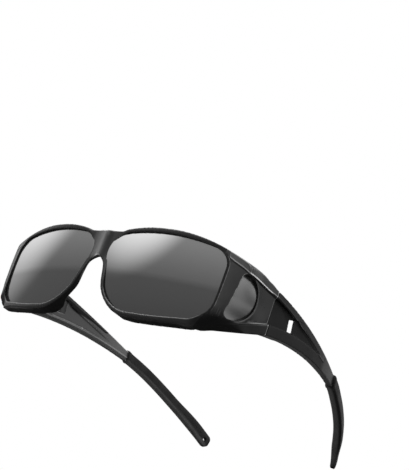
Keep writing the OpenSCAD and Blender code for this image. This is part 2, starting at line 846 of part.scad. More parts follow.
// The rubber tip, with the cord hole square through it near its end
module temple_tip() {
    color([0.07, 0.07, 0.07]) difference() {
        intersection() {
            tip_band(-tip_proud, end_t + tip_proud);
            side_prism(tip_bar(tip_y - tip_lean - over, tip_end_y, tip_half, 18), 0, wing_x + over);
            side_prism(tip_zone, 0, wing_x + over);
        }
        tongue_shape(core_play);
        core_shape(core_play);
        translate([tip_cx + cord_r * cos(cord_a), cord_y, tip_mid(cord_y)]) rotate([0, 90, cord_a])
            cylinder(r = cord_hole_r, h = end_t + 2 * (tip_proud + over), center = true);
    }
}

front_frame();
placed() front_lens();  // front_lens_left
placed() right_side() front_lens();  // front_lens_right
placed() side_lens();  // side_lens_left
placed() right_side() side_lens();  // side_lens_right
placed() hinge_front_leaf();  // hinge_front_leaf_left
placed() right_side() hinge_front_leaf();  // hinge_front_leaf_right
placed() leaf_screws(-1);  // front_leaf_screws_left
placed() right_side() leaf_screws(-1);  // front_leaf_screws_right
placed() hinge_screw();  // hinge_screw_left
placed() right_side() hinge_screw();  // hinge_screw_right
placed() temple();  // temple_left
placed() right_side() temple();  // temple_right
placed() hinge_temple_leaf();  // hinge_temple_leaf_left
placed() right_side() hinge_temple_leaf();  // hinge_temple_leaf_right
placed() leaf_screws(1);  // temple_leaf_screws_left
placed() right_side() leaf_screws(1);  // temple_leaf_screws_right
placed() tip_core();  // tip_core_left
placed() right_side() tip_core();  // tip_core_right
placed() temple_tip();  // temple_tip_left
placed() right_side() temple_tip();  // temple_tip_right
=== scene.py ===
"""Wraparound fit-over sunglasses: rounded mouldings, mirrored lenses, rubber tips, floor, lamp and camera.

Lengths are millimetres on the part's own plan: X to the wearer's left, Y back along the temples from the
front of the bridge, Z up from the middle of the lenses. at() turns them into metres in the row frame. A
shade is a factor on a finish's own grey that paints light and shade into it: 1 leaves it as it is, less is
painted shade and more is painted light.
"""

import bpy
import bmesh
import math
from mathutils import Matrix, Vector
from mathutils.kdtree import KDTree


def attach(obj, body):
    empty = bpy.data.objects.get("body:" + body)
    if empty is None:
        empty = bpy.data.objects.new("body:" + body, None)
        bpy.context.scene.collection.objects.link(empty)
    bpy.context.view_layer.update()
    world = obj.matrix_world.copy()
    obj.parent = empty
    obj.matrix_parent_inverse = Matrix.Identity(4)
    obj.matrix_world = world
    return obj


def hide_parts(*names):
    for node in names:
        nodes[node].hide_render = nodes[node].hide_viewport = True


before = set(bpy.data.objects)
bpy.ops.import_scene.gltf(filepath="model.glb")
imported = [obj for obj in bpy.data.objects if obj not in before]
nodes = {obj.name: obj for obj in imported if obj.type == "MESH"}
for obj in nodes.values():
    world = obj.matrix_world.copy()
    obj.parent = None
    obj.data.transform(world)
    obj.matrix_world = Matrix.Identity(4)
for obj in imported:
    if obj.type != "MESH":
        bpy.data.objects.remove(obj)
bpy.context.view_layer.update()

# One millimetre in the row frame, and where the plan's own zero lies there
MM = 0.001
PLAN_Y = 85.0
PLAN_Z = 26.9

FRONT_CELL, FRONT_PASSES = ((0.26, 6))
TEMPLE_CELL, TEMPLE_PASSES = ((0.26, 7))
PANE_CELL, PANE_PASSES = ((0.22, 5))

# Most faces of each moulding, and how near each other, in metres, two corners of a solid become one
FRONT_FACES, TEMPLE_FACES, PANE_FACES = 190000, 150000, 40000
WELD = 1e-6

# Face of the front: one big circle seen from above, and a flatter dome up and down for the lenses
FACE_R = 166.0
LENS_DOME_R = 200.0
LENS_DOME_Z = 5.0

# Lens: how deep it lies under the face, its wall, its middle, and how far its edge runs into the groove
LENS_SINK = 0.6
LENS_THICK = 1.6
LENS_MID = (34.0, -1.0)
LENS_IN_GROOVE = 0.85
LENS_RINGS = (0.97, 0.9, 0.8, 0.7, 0.6, 0.5, 0.4, 0.3, 0.2, 0.1)
LENS_SHARP_DEGREES = 30

# Lens opening from the front: corners, what their roundings take off the edges, and bows of the edges
LOW_IN, LOW_OUT, TOP_OUT, TOP_IN = (11.8, -18.8), (61.4, -15.4), (62.0, 15.1), (3.8, 15.1)
LOW_IN_CUT, LOW_OUT_CUT, TOP_OUT_CUT, TOP_IN_CUT = 12.8, 7.7, 6.7, 9.4
LOW_BOW, OUTER_BOW, BROW_BOW, NOSE_BOW = 2.2, 0.3, 3.9, 0.2
CORNER_PULL = 0.55

# Reach of the shade lip, rounding of bridge and lower corner, drop of the bottom, rise of the wing's top
LIP_REACH = 2.2
BRIDGE_ROUND, CORNER_ROUND = 0.75, 8.5
BOTTOM_DROP = 0.65
WING_RAISE = 0.8

# Where the chamfer beside the nose ends, outwards and upwards
NOSE_TO_X, NOSE_TO_Z = 32, 7

# Outer corner leaning in: by this much at half height, and by this much more at the bottom
LEAN_MIDDLE, LEAN_LOW = 0.6, 1.6

# Wing and temple from the side: where the wing starts and the seam lies, and the height of their edges
WING_FROM_X, WING_FROM_Y = 62, 16.259
SEAM_Y = 38.8
WING_FRONT_RISE, WING_RISE_POWER = 4.6, 3.5
WING_FRONT_LOW, WING_SAG = -18.9, 0.1
SEAM_TOP, SEAM_LOW = 10.8, -9.8
TEMPLE_END_TOP, TEMPLE_END_LOW = 0.3, -4.3
TEMPLE_TOP_BOW, TEMPLE_LOW_BOW = 1.7, 3.2

# Top band of the wing: height in front and at the seam, and how far below and above its edge is stretched
BAND_FRONT, BAND_BACK = 2.6, 3.3
BAND_FOOT, BAND_HEAD = 0.7, 1.1

# Painted shadow line under the wing's top band, to which its lower edge is also brought down, as Y and Z from
# the lens corner back to the seam
BAND_LINE = ((11.5, 14.2), (12.14, 13.2), (13.27, 11.8), (14.44, 11.0), (18.3, 9.2), (24.7, 8.03),
             (32.2, 7.75), (36, 8.0))

# Temple from above: circle of its outer face. Its see-through slot: middle and slope
TEMPLE_CENTRE_X, TEMPLE_R = -252, 325
SLOT_Y, SLOT_Z, SLOT_SLOPE = 58.4, 2.3, 0.176

# Rubber tip: circle of its outer face from above, how deep its middle lies, and its fall from the side
TIP_CENTRE = (-161.286, 59.2908)
TIP_R = 232.0
TIP_MIDDLE_IN = 1.5
TIP_START, TIP_SPAN = 110.408, 56.892
TIP_START_Z, TIP_FALL, TIP_BOW = -2.0, 22.2, 3.2

# Rubber tip as a swept bar: where it begins and ends, half sizes, points round it and rings along it
TIP_FROM_Y, TIP_TO_Y = 109.2, 169.68
TIP_HALF_HIGH, TIP_HALF_THICK = 2.7, 2.3
TIP_POINTS, TIP_RINGS = 48, 90

# Its squareness, rounded end, collar, crease, and lowest height over the row frame's ground
TIP_SQUARENESS = 3.8
TIP_UNDER_FULLER, TIP_END_FULLER = 1.15, 0.4
TIP_END_ROUND, TIP_END_THINNER = 2.2, 0.8
TIP_END_HALF_HIGH, TIP_END_THICK_SHARE = 0.35, 0.35
COLLAR = 0.22
CREASE_ANGLE, CREASE_WIDTH = 0.93, 0.16
CREASE_IN, CREASE_UP = 0.55, 0.4
LOWEST = 0.02

# How far the tip leans inwards where it starts, and how much further towards its end
LEAN_START, LEAN_END = 0.4, 0.9

# Cord hole through the tip: half its width, length and facets of the drill, and the line it follows
HOLE_R, HOLE_REACH, HOLE_FACETS = 0.95, 8, 24
HOLE_MIDDLE = (42.6064, 166.8, -23.2)
HOLE_AXIS = (0.884565, 0.466417, 0)

# Layers of the skin: this many millimetres is out of reach of every line, and the second one by far
FAR = 9.0
WELL_AWAY = 99.0

# Painted light and shade of the front, as factors on the moulding's grey
# Painted light on the wing's outer face, more in front than towards the seam
WING_FRONT_PAINTED_LIGHT, WING_BACK_PAINTED_LIGHT = 9.0, 4.0
# Painted shade on the wing's low band
LOW_BAND_PAINTED_SHADE = 0.3
# Painted glint line and painted shadow line low on the wing by the seam
PAINTED_GLINT_GAIN, PAINTED_SHADOW_DEPTH = 20, 0.9
# Painted shadow in the wing's lower front corner
CORNER_PAINTED_SHADOW = 0.03
# Painted highlight on the face of the seam
SEAM_PAINTED_HIGHLIGHT = 20.0
# Painted shade on the strip beside the lens, and painted shadow on the rim's back walls by the nose and under
# the lower lip
STRIP_PAINTED_SHADE = 0.04
RIM_BACK_PAINTED_SHADOW = 0.05
# Painted glint and sheen down the middle of the bridge
BRIDGE_PAINTED_GLINT, BRIDGE_PAINTED_SHEEN = 36, 12

# Painted light and shade of the temple and the tip, as factors on their grey
# Painted shade on the temple's outer face, darker in its recess, and painted light towards its end
TEMPLE_OUTER_PAINTED_SHADE, TEMPLE_RECESS_PAINTED_SHADE, TEMPLE_END_PAINTED_LIGHT = 0.35, 0.2, 2.5
# Painted light on the temple's inner face
TEMPLE_INNER_PAINTED_LIGHT = 13.0
# Painted light on the tip's underside, and a painted highlight on its upper outer edge
TIP_UNDER_PAINTED_LIGHT, TIP_EDGE_PAINTED_HIGHLIGHT = 11, 12
# Painted shadow in the tip's crease
CREASE_PAINTED_SHADOW = 0.05

# Side pane: how it splays outwards per millimetre back, from where on, and its top edge besides
PANE_SPLAY, PANE_SPLAY_FROM_Y = 0.085, 16
PANE_TOP_OUT = 0.8


def at(x, y, z):
    return Vector((x, y - PLAN_Y, z + PLAN_Z)) * MM


def on_plan(point):
    """The way back from at(): millimetres on the plan of a point in the row frame."""
    return point.x / MM, point.y / MM + PLAN_Y, point.z / MM - PLAN_Z


def lerp(a, b, t):
    return a + (b - a) * t


def bow(t):
    """A bow over 0 to 1 that is 1 high in the middle."""
    return 4 * t * (1 - t)


def ease_step(t, a, b):
    """Rises smoothly from 0 to 1 between a and b."""
    k = min(max((t - a) / (b - a), 0), 1)
    return k * k * (3 - 2 * k)


def ease_off(t, a, b):
    """Falls smoothly from 1 to 0 between a and b."""
    return 1 - ease_step(t, a, b)


def swell(t, a, b, c, d):
    """Rises from 0 to 1 between a and b, and falls back between c and d."""
    return ease_step(t, a, b) * ease_off(t, c, d)


# Meshes

def mesh_from(bm, name):
    mesh = bpy.data.meshes.new(name)
    bm.to_mesh(mesh)
    bm.free()
    return mesh


def in_scene(name, mesh):
    thing = bpy.data.objects.new(name, mesh)
    bpy.context.scene.collection.objects.link(thing)
    return thing


def worn_shape(blank):
    """A new mesh of an object with its modifiers on."""
    return bpy.data.meshes.new_from_object(blank.evaluated_get(bpy.context.evaluated_depsgraph_get()))


def give_finish(mesh, material):
    mesh.materials.clear()
    mesh.materials.append(material)


def piece_of(mesh, material, name, body, slot, *stands_for):
    mesh.name = name
    piece = in_scene(name, mesh)
    for face in mesh.polygons:
        face.use_smooth = True
    give_finish(mesh, material)
    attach(piece, body)
    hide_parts(*stands_for)


def worn_round(node, cell, passes, most_faces):
    """A moulding with its edges broken: a merged copy of the solid, remeshed fine and eased."""
    bm = bmesh.new()
    bm.from_mesh(nodes[node].data)
    bmesh.ops.remove_doubles(bm, verts=bm.verts, dist=WELD)
    blank = in_scene("blank", mesh_from(bm, "blank"))
    skin = blank.modifiers.new("skin", "REMESH")
    skin.mode = "VOXEL"
    skin.voxel_size = cell * MM
    ease = blank.modifiers.new("ease", "SMOOTH")
    ease.factor = 0.5
    ease.iterations = passes
    bpy.context.view_layer.update()
    squares = blank.evaluated_get(bpy.context.evaluated_depsgraph_get()).data.polygons
    count = len(squares) * 2
    if count > most_faces:
        thin = blank.modifiers.new("thin", "DECIMATE")
        thin.ratio = most_faces / count
    eased = worn_shape(blank)
    bpy.data.objects.remove(blank)
    return eased


def mirrored(mesh):
    """The same moulding for the other side of the head."""
    bm = bmesh.new()
    bm.from_mesh(mesh)
    bmesh.ops.transform(bm, matrix=Matrix.Scale(-1, 4, (1, 0, 0)), verts=bm.verts)
    bmesh.ops.reverse_faces(bm, faces=bm.faces)
    return mesh_from(bm, "other_side")


# Lens outline, seen from the front: four bowed edges with rounded corners between them

def side_dir(p, q):
    """Outward direction across an edge that runs from p to q."""
    d = q - p
    return Vector((d.y, -d.x)).normalized()


def bowed_edge(p, q, rise, cut_a, cut_b, n):
    run = (q - p).length
    out = []
    for i in range(n + 1):
        t = lerp(cut_a / run, 1 - cut_b / run, i / n)
        out.append(p.lerp(q, t) + rise * bow(t) * side_dir(p, q))
    return out


def round_corner(p, c, q, n):
    """Points between p and q on a curve that is pulled towards the corner c."""
    a, b = p.lerp(c, CORNER_PULL), q.lerp(c, CORNER_PULL)
    out = []
    for i in range(1, n):
        t = i / n
        out.append((1 - t) ** 3 * p + 3 * (1 - t) ** 2 * t * a + 3 * (1 - t) * t * t * b + t ** 3 * q)
    return out


def lens_outline(grow):
    """The opening, moved outwards by grow: along the bottom, up the outer side, the brow, down the nose."""
    low_in, low_out, top_out, top_in = (Vector(c) for c in (LOW_IN, LOW_OUT, TOP_OUT, TOP_IN))
    low = bowed_edge(low_in, low_out, LOW_BOW, LOW_IN_CUT, LOW_OUT_CUT, 24)
    outer = bowed_edge(low_out, top_out, OUTER_BOW, LOW_OUT_CUT, TOP_OUT_CUT, 10)
    brow = bowed_edge(top_out, top_in, BROW_BOW, TOP_OUT_CUT, TOP_IN_CUT, 28)
    nose = bowed_edge(top_in, low_in, NOSE_BOW, TOP_IN_CUT, LOW_IN_CUT, 10)
    ring = low + round_corner(low[-1], low_out, outer[0], 12)
    ring += outer + round_corner(outer[-1], top_out, brow[0], 12)
    ring += brow + round_corner(brow[-1], top_in, nose[0], 14)
    ring += nose + round_corner(nose[-1], low_in, low[0], 16)
    n = len(ring)
    return [ring[i] + grow * side_dir(ring[i - 1], ring[(i + 1) % n]) for i in range(n)]


def face_y(x, depth=0.0):
    """Y on the face of the front, or so deep under it."""
    return FACE_R - math.sqrt((FACE_R - depth) ** 2 - x * x)


def lens_y(x, z):
    """Y of the lens at a point of the front view."""
    return face_y(x, LENS_SINK) + (z - LENS_DOME_Z) ** 2 / (2 * LENS_DOME_R)


def in_order(bm):
    """Puts edges and faces in the order of their corners, so that each run gives the same mesh."""
    bm.verts.index_update()
    many = len(bm.verts)

    def place(part):
        first, second, *others = sorted(v.index for v in part.verts)
        return (first * many + second) * many + (others[0] if others else 0)

    for parts in (bm.edges, bm.faces):
        parts.sort(key=place)
        parts.index_update()


def to_row_frame(bm):
    for v in bm.verts:
        v.co = at(v.co.x, v.co.y, v.co.z)


def lens_mesh():
    """Rings from the rim to the middle on a domed surface, then a wall's thickness behind."""
    bm = bmesh.new()
    rim = [bm.verts.new((p.x, 0, p.y)) for p in lens_outline(LENS_IN_GROOVE)]
    edges = [bm.edges.new((rim[i - 1], rim[i])) for i in range(len(rim))]
    middle = Vector((LENS_MID[0], 0, LENS_MID[1]))
    last = 1.0
    for share in LENS_RINGS:
        grown_in = bmesh.ops.extrude_edge_only(bm, edges=edges)["geom"]
        verts = [g for g in grown_in if isinstance(g, bmesh.types.BMVert)]
        fresh = set(verts)
        edges = [g for g in grown_in if isinstance(g, bmesh.types.BMEdge) and g.is_boundary]
        edges = [e for e in edges if all(v in fresh for v in e.verts)]
        k = share / last
        bmesh.ops.scale(bm, vec=(k, k, k), space=Matrix.Translation(-middle), verts=verts)
        last = share
    hub = bmesh.ops.contextual_create(bm, geom=edges)["faces"]
    bmesh.ops.poke(bm, faces=hub)
    for v in bm.verts:
        v.co.y = lens_y(v.co.x, v.co.z)
    bmesh.ops.recalc_face_normals(bm, faces=bm.faces)
    if sum(f.normal.y for f in bm.faces) > 0:
        bmesh.ops.reverse_faces(bm, faces=bm.faces)
    in_order(bm)
    bmesh.ops.solidify(bm, geom=list(bm.faces), thickness=LENS_THICK)
    bmesh.ops.recalc_face_normals(bm, faces=bm.faces)
    in_order(bm)
    to_row_frame(bm)
    return mesh_from(bm, "lens")


# Rubber tip

def tip_path(y):
    """Middle of the rubber tip at a distance back, and the outward direction there."""
    a = math.asin((y - TIP_CENTRE[1]) / TIP_R)
    r = TIP_R - TIP_MIDDLE_IN
    t = (y - TIP_START) / TIP_SPAN
    z = TIP_START_Z - TIP_FALL * t + TIP_BOW * bow(t)
    return Vector((TIP_CENTRE[0] + r * math.cos(a), y, z)), Vector((math.cos(a), math.sin(a), 0))


def tip_lean(y):
    """How far the tip bends inwards of the temple's circle, as a length outwards."""
    return -LEAN_START * ease_step(y, 112, 125) - LEAN_END * ease_step(y, 140, 165)


def tip_ring(y, high, thick):
    """One closed ring of the tip: a rounded square with a crease, slanted where the collar begins."""
    middle, out = tip_path(y)
    ahead, back = tip_path(y + 0.5)[0], tip_path(y - 0.5)[0]
    along = (ahead - back).normalized()
    up = along.cross(out).normalized()
    crease_here = swell(y, TIP_FROM_Y + 2, TIP_FROM_Y + 5, 150, 158)
    slant = max(0, 1 - (y - TIP_FROM_Y) / 4)
    ring = []
    for i in range(TIP_POINTS):
        a = 2 * math.pi * i / TIP_POINTS
        c, s = math.cos(a), math.sin(a)
        u = math.copysign(abs(c) ** (2 / TIP_SQUARENESS), c) * thick
        w = math.copysign(abs(s) ** (2 / TIP_SQUARENESS), s) * high
        crease = math.exp(-((a - CREASE_ANGLE) / CREASE_WIDTH) ** 2) * crease_here
        u -= CREASE_IN * crease
        w -= CREASE_UP * crease
        if s < 0:
            w *= TIP_UNDER_FULLER + TIP_END_FULLER * ease_step(y, 144, 162)
        p = middle + out * (u + tip_lean(y)) + up * w + along * (w / TIP_HALF_HIGH * slant)
        p.z = max(p.z, LOWEST - PLAN_Z)
        ring.append(p)
    return ring


def tip_mesh():
    """A rounded bar swept along the ear bend, ring after ring, with a collar and a rounded end."""
    rings = []
    for k in range(TIP_RINGS + 1):
        y = lerp(TIP_FROM_Y, TIP_TO_Y, k / TIP_RINGS)
        left = min((TIP_TO_Y - y) / TIP_END_ROUND, 1)
        closing = math.sqrt(max(0, 1 - (1 - left) ** 2))
        collar = COLLAR * swell(y, TIP_FROM_Y, TIP_FROM_Y + 0.5, TIP_FROM_Y + 1.6, TIP_FROM_Y + 2.4)
        high = max(TIP_HALF_HIGH * closing, TIP_END_HALF_HIGH)
        thick = TIP_HALF_THICK - TIP_END_THINNER * ease_step(y, 154, 167)
        thick *= lerp(TIP_END_THICK_SHARE, 1, closing)
        rings.append(tip_ring(y, high + collar, thick + collar))
    bm = bmesh.new()
    row = [bm.verts.new(p) for p in rings[0]]
    edges = [bm.edges.new((row[i - 1], row[i])) for i in range(TIP_POINTS)]
    start = list(edges)
    for ring in rings[1:]:
        made = bmesh.ops.extrude_edge_only(bm, edges=edges)["geom"]
        new = [g for g in made if isinstance(g, bmesh.types.BMVert)]
        fresh = set(new)
        edges = [g for g in made if isinstance(g, bmesh.types.BMEdge) and all(v in fresh for v in g.verts)]
        following = {}
        for v in new:
            mate = [e.other_vert(v) for e in v.link_edges if e.other_vert(v) not in fresh][0]
            following[mate] = v
        row = [following[v] for v in row]
        for v, p in zip(row, ring):
            v.co = p
    for loop in (start, edges):
        bmesh.ops.contextual_create(bm, geom=loop)
    bmesh.ops.recalc_face_normals(bm, faces=bm.faces)
    in_order(bm)
    to_row_frame(bm)
    return mesh_from(bm, "tip")


def cut_cord_hole(mesh):
    """A small round hole square through the end of the tip."""
    bm = bmesh.new()
    bmesh.ops.create_cone(bm, cap_ends=True, segments=HOLE_FACETS, radius1=HOLE_R * MM, radius2=HOLE_R * MM,
                          depth=HOLE_REACH * MM)
    axis = Vector(HOLE_AXIS)
    turn = axis.to_track_quat("Z", "Y").to_matrix().to_4x4()
    middle = Vector(HOLE_MIDDLE) + axis * tip_lean(HOLE_MIDDLE[1])
    bmesh.ops.transform(bm, matrix=Matrix.Translation(at(*middle)) @ turn, verts=bm.verts)
    drill = in_scene("drill", mesh_from(bm, "drill"))
    blank = in_scene("blank", mesh)
    cut = blank.modifiers.new("cord_hole", "BOOLEAN")
    cut.operation = "DIFFERENCE"
    cut.solver = "EXACT"
    cut.object = drill
    bpy.context.view_layer.update()
    drilled = worn_shape(blank)
    bm = bmesh.new()
    bm.from_mesh(drilled)
    bm.to_mesh(mesh)
    bm.free()
    for thing in (drill, blank):
        bpy.data.objects.remove(thing)


# Heights of the wing's and the temple's edges, and of the wing's top band

def wing_share(y):
    """0 where the wing starts and 1 at the seam."""
    return (y - WING_FROM_Y) / (SEAM_Y - WING_FROM_Y)


def wing_top(y):
    return SEAM_TOP + WING_FRONT_RISE * max(1 - wing_share(y), 0) ** WING_RISE_POWER


def wing_low(y):
    t = wing_share(y)
    return lerp(WING_FRONT_LOW, SEAM_LOW, t) - WING_SAG * bow(t)


def temple_share(y):
    """0 at the seam and 1 where the slope of the tip starts."""
    return (y - SEAM_Y) / (TIP_START - SEAM_Y)


def temple_top(y):
    t = temple_share(y)
    return lerp(SEAM_TOP, TEMPLE_END_TOP, t) + TEMPLE_TOP_BOW * bow(t)


def temple_low(y):
    t = temple_share(y)
    return lerp(SEAM_LOW, TEMPLE_END_LOW, t) + TEMPLE_LOW_BOW * bow(t)


def band_line(y):
    """Height of the painted shadow line under the top band, to which its lower edge is also brought down."""
    for (y0, z0), (y1, z1) in zip(BAND_LINE, BAND_LINE[1:]):
        if y < y1:
            return lerp(z0, z1, max(y - y0, 0) / (y1 - y0))
    return BAND_LINE[-1][1]


def band_lowered(y, z):
    """Height after the lower edge of the top band is brought down to the shadow line."""
    top = wing_top(max(y, WING_FROM_Y))
    edge = top - lerp(BAND_FRONT, BAND_BACK, min(max(wing_share(y), 0), 1))
    line = min(band_line(y), edge)
    foot, head = line - BAND_FOOT, top - BAND_HEAD
    if z <= foot or z >= head:
        return z
    if z < edge:
        return foot + (z - foot) * (line - foot) / (edge - foot)
    return line + (z - edge) * (head - line) / (head - edge)


# Shaping of the front

def raised_wing(a, y, z):
    """Height on the wing after its top band's lower edge comes down and its top edge rises."""
    z = lerp(z, band_lowered(y, z), swell(y, 16.6, 19, 30, 37))
    high = ease_step(z - band_line(y), 1.2, 4.0) * ease_step(a, WING_FROM_X, WING_FROM_X + 2)
    return z + WING_RAISE * high * swell(y, 12, 24, 33, 38)


def outer_corner(a, y, z):
    """The outer corner comes in a little all the way down, and is rounded at the bottom in front."""
    lean_in = LEAN_MIDDLE * ease_step(-z, -6, 4) + LEAN_LOW * ease_step(-z, 3, 13)
    a -= lean_in * ease_step(a, 61, 70) * ease_off(y, 26, 38)
    return a - CORNER_ROUND * ease_step(-z, 12.5, 20.5) * ease_step(a, 54, 66) * ease_off(y, 16, 27)


def nose_chamfer(z, depth, off, out):
    """How far the rim beside the nose is drawn towards the opening: most of all behind, at half height."""
    behind = lerp(0.15, 0.95, ease_step(z, -13, 1)) * ease_step(depth, 0.8, 2.6) * ease_off(z, 1, 7)
    everywhere = lerp(0.18, 0.3, ease_step(-z, 3, 9)) * ease_step(-z, -5, -1)
    return off * ease_step(-out.x, 0.25, 0.75) * max(behind, everywhere)


def wing_skin(a, y, z, facing_out):
    """Painted light and shade of a point on the wing, and how far it lies under the top band's painted shadow
    line.
    """
    band = lerp(FAR, band_line(y) - z, ease_step(a, 61, 62.3) * facing_out)
    # Painted light on the outer face
    shade = lerp(1.0, lerp(WING_FRONT_PAINTED_LIGHT, WING_BACK_PAINTED_LIGHT, ease_step(y, 14, 24)), facing_out)
    over = z - wing_low(y)
    # Painted shade on the low band
    shade = lerp(shade, LOW_BAND_PAINTED_SHADE, ease_off(over, 4.3, 4.7))
    # A painted glint line over a painted shadow line near the seam
    towards_seam = ease_step(y, 24, 28) * facing_out
    bright_line = towards_seam * swell(over, 4.9, 5.1, 5.25, 5.5) * ease_step(y, 26, 31)
    dark_line = towards_seam * swell(over, 5.5, 5.7, 6.5, 6.9)
    shade *= (1 + PAINTED_GLINT_GAIN * bright_line) * (1 - PAINTED_SHADOW_DEPTH * dark_line)
    # Painted shadow in the lower front corner, then a painted highlight on the seam face
    shade = lerp(shade, CORNER_PAINTED_SHADOW, ease_step(-z, 8, 13) * ease_off(y, 19, 27) * facing_out)
    return lerp(shade, SEAM_PAINTED_HIGHLIGHT, ease_step(y, SEAM_Y - 1.0, SEAM_Y - 0.85)), band


def rim_skin(shade, normal, x, z, depth, off, out):
    """Painted shade near the lens opening and on the rim's back walls, a painted glint and sheen on the
    bridge, and the distance that the rim's painted highlight line follows.
    """
    a, gap = abs(x), FAR
    if a < 71 and depth < 2 and normal.y < -0.1:
        beside = ease_step(out.x, 0.6, 0.85)
        lined = max(ease_step(-out.y, 0.1, 0.6), ease_step(out.x, 0.5, 0.9))
        gap = lerp(FAR, lerp(off, 1.7 * (off - 1.1), beside), lined)
        # Painted shade on the strip beside the lens's outer edge
        if off > -0.5:
            shade = lerp(shade, STRIP_PAINTED_SHADE, beside * ease_off(off, 1.05, 1.3))
    # Painted shadow on the rim's back walls by the nose and under the lower lip
    if depth > 0.7 and a < 30 and off > 0.2:
        shade = lerp(shade, RIM_BACK_PAINTED_SHADOW, ease_off(z, 1, 7))
    if depth > 1.5 and z < -12 and a < 64 and off > 0.2:
        shade = RIM_BACK_PAINTED_SHADOW
    # Painted glint and sheen down the middle of the bridge
    if a < 9 and z > 2 and normal.y < -0.2:
        glint = BRIDGE_PAINTED_GLINT * math.exp(-((x + 0.6) / 1.3) ** 2)
        sheen = BRIDGE_PAINTED_SHEEN * swell(-x, 0.5, 2.5, 5, 8)
        shade += (glint + sheen) * ease_step(z, 3, 6)
    return shade, gap


def float_layer(mesh, name, values):
    layer = mesh.attributes.new(name, "FLOAT", "POINT")
    layer.data.foreach_set("value", values)


def shape_front(mesh):
    """Moves every point of the front a little, and writes down its painted light and shade and its distance
    to the painted lines.

    The wing's top band comes down and its top edge rises, the outer corner leans in and is rounded, the nose
    side is chamfered, the lip reaches back there, the bottom drops before the corner, the bridge is rounded.
    a is a point's distance from the middle plane and depth the one behind the face. off is the distance
    outside the lens opening, and out the direction away from it.
    """
    outline = lens_outline(0.0)
    tree = KDTree(len(outline))
    for i, p in enumerate(outline):
        tree.insert((p.x, p.y, 0), i)
    tree.balance()
    shades, bands, rims = [], [], []
    normals = [v.normal.copy() for v in mesh.vertices]
    for v, normal in zip(mesh.vertices, normals):
        x, y, z = on_plan(v.co)
        side = math.copysign(1, x)
        a = abs(x)
        depth = y - face_y(a)
        shade, band = 1.0, FAR
        if a > WING_FROM_X:
            z = raised_wing(a, y, z)
        if a > 60 and y > 3:
            facing_out = normal.x * side - (normal.y if y < 22 else 0)
            shade, band = wing_skin(a, y, z, ease_step(facing_out, 0.15, 0.4))
        i = tree.find((a, z, 0))[1]
        out = side_dir(outline[i - 1], outline[(i + 1) % len(outline)])
        off = (a - outline[i].x) * out.x + (z - outline[i].y) * out.y
        shade, rim = rim_skin(shade, normal, x, z, depth, off, out)
        a = outer_corner(a, y, z)
        if a < NOSE_TO_X and z < NOSE_TO_Z and off > 0:
            drawn = nose_chamfer(z, depth, off, out)
            a -= out.x * drawn
            z -= out.y * drawn
        y += LIP_REACH * swell(a, 12, 16, 18, 25) * ease_step(-z, 7, 12) * ease_step(depth, 2.2, 4.5)
        z -= BOTTOM_DROP * swell(a, 49, 55.5, 56.5, 61) * ease_step(-z, 16.5, 18.8)
        y += BRIDGE_ROUND * swell(a, 0.6, 5.4, 7.5, 13) * ease_step(z, -8, 8) * ease_off(depth, 0.3, 2.8)
        v.co = at(side * a, y, z)
        shades.append(shade)
        bands.append(band)
        rims.append(rim)
    # Layers of painted light and shade, and distances that the painted highlight and shadow lines follow
    float_layer(mesh, "shade", shades)
    float_layer(mesh, "band_gap", bands)
    float_layer(mesh, "rim_glint_distance", rims)


# Shaping of the temple, its layers, and those of the rubber tip and the panes

def temple_outside(y, z, depth):
    """Painted shade of the outer face, darker in the recess, with painted light towards the end, and the
    distance under the painted shadow line of its upper band.
    """
    shade = TEMPLE_OUTER_PAINTED_SHADE if depth < 0.6 else TEMPLE_RECESS_PAINTED_SHADE
    shade += TEMPLE_END_PAINTED_LIGHT * ease_step(y, 88, 106)
    band = FAR
    if y < 92:
        line = lerp(2.6, 3.8, ease_step(y, 40, 78)) - 0.6 * ease_step(y, 84, 95)
        band = temple_top(y) - line - z
    # The painted shadow line widens into a wedge by the slot's pocket
    if band > 0:
        band /= 1 + 5 * swell(y, 42, 54, 55.5, 57.5)
    return shade, band


def temple_inside(y, z):
    """Painted light on the inner face, paler towards the end, and the distances under its top edge and over
    its bottom edge that the painted shadow and highlight lines follow.
    """
    top = temple_top(y) - z - 0.5 * ease_step(y, 60, 80)
    # The painted shadow under the top rib narrows backwards and fades out before the end
    top = lerp(top * (1 + 2.2 * ease_step(y, 66, 94)), FAR, ease_step(y, 90, 95))
    return TEMPLE_INNER_PAINTED_LIGHT * (1 + ease_step(y, 82, 105)), top, z - temple_low(y)


def slanted_slot(y, z, depth):
    """Y and Z of a point, moved near the see-through slot, so that it closes seen from inside in front."""
    slot_z = SLOT_Z + SLOT_SLOPE * (y - SLOT_Y)
    near = ease_off(abs(z - slot_z), 3.0, 4.2)
    if near == 0 or not 50 < y < 68:
        return y, z
    if z > slot_z:
        z += 1.1 * swell(y, 55, 59, 62, 66) * ease_step(z - slot_z, 1, 2.7) * near
    y -= 0.9 * near * swell(y, 51, 55, 55.6, 57.5)
    y -= 3.2 * near * swell(y, 57.5, 61.2, 61.8, 67) * ease_off(depth, 1.9, 2.8)
    return y, z


